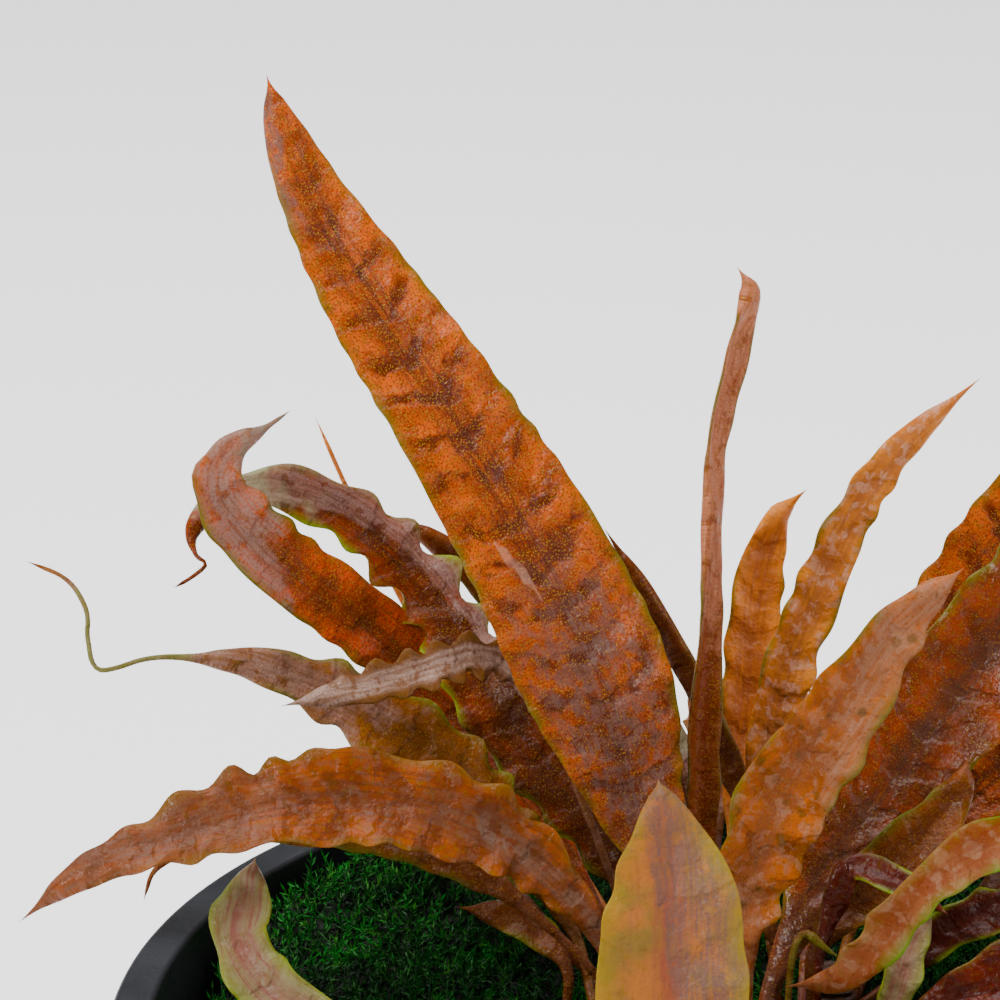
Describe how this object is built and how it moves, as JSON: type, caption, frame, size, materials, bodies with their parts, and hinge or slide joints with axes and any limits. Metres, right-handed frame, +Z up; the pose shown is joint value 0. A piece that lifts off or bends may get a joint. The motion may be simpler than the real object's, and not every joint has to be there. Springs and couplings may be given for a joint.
{
  "type": "potted cryptocoryne albida",
  "caption": "Brown Cryptocoryne albida: rosettes of narrow ruffled leaves rising from moss in a round black nursery pot.",
  "frame": {"origin": "middle of the pot's underside", "axes": "+Z up through the pot's mouth, -Y towards the side the picture sees, +X to the picture's right"},
  "size_m": [0.1276, 0.1276, 0.1664],
  "materials": {
    "pot": "smooth black plastic with smudges",
    "soil": "damp dark soil",
    "moss": "fine feathery moss",
    "rhizome": "damp brown rhizome",
    "leaf_orange": "wet glossy leaf, orange with brown bars",
    "leaf_brown": "wet glossy leaf, red brown",
    "leaf_dark": "wet glossy leaf, dark red brown",
    "leaf_olive": "wet glossy leaf, olive brown",
    "leaf_green": "wet glossy leaf, pink brown with green margins"
  },
  "bodies": {
    "root": {"pot": "pot", "soil": "soil", "moss": "moss", "crown_left": "rhizome", "crown_middle": "rhizome", "crown_back": "rhizome", "crown_right": "rhizome", "crown_far_right": "rhizome", "crown_front": "rhizome", "crown_left_front": "rhizome", "crown_right_front": "rhizome", "leaf_tall": "leaf_orange", "leaf_dark_arch": "leaf_dark", "leaf_left_arch": "leaf_orange", "leaf_curly_tip": "leaf_olive", "leaf_pale_small": "leaf_orange", "leaf_front_left": "leaf_orange", "leaf_under": "leaf_brown", "leaf_moss_leaf": "leaf_brown", "leaf_slim_back": "leaf_orange", "leaf_needle": "leaf_brown", "leaf_pot_edge": "leaf_green", "leaf_foreground": "leaf_orange", "leaf_rolled": "leaf_brown", "leaf_edge_on": "leaf_brown", "leaf_back": "leaf_orange", "leaf_long_back": "leaf_orange", "leaf_right_front": "leaf_orange", "leaf_wet_right": "leaf_dark", "leaf_upper_right": "leaf_orange", "leaf_folded_right": "leaf_brown", "leaf_right_edge": "leaf_orange", "leaf_right_pale": "leaf_olive", "leaf_glossy_bent": "leaf_dark", "leaf_young_curl": "leaf_green", "leaf_twisted": "leaf_green", "leaf_low_far_right": "leaf_brown", "leaf_blurred_right": "leaf_orange", "leaf_lower_right": "leaf_brown", "leaf_rear_arch": "leaf_orange", "leaf_rear_left": "leaf_brown", "leaf_rear_low": "leaf_dark", "leaf_rear_right": "leaf_orange", "leaf_side_tall": "leaf_orange", "leaf_side_arch": "leaf_brown", "leaf_side_low": "leaf_dark", "leaf_front_right_low": "leaf_orange", "leaf_front_left_low": "leaf_brown", "leaf_edge_left_low": "leaf_green", "leaf_back_low": "leaf_dark", "leaf_rear_short": "leaf_orange", "leaf_rear_side": "leaf_brown", "leaf_side_mid": "leaf_orange", "leaf_front_mid": "leaf_brown", "leaf_left_low": "leaf_orange", "leaf_front_small": "leaf_orange"}
  },
  "joints": []
}
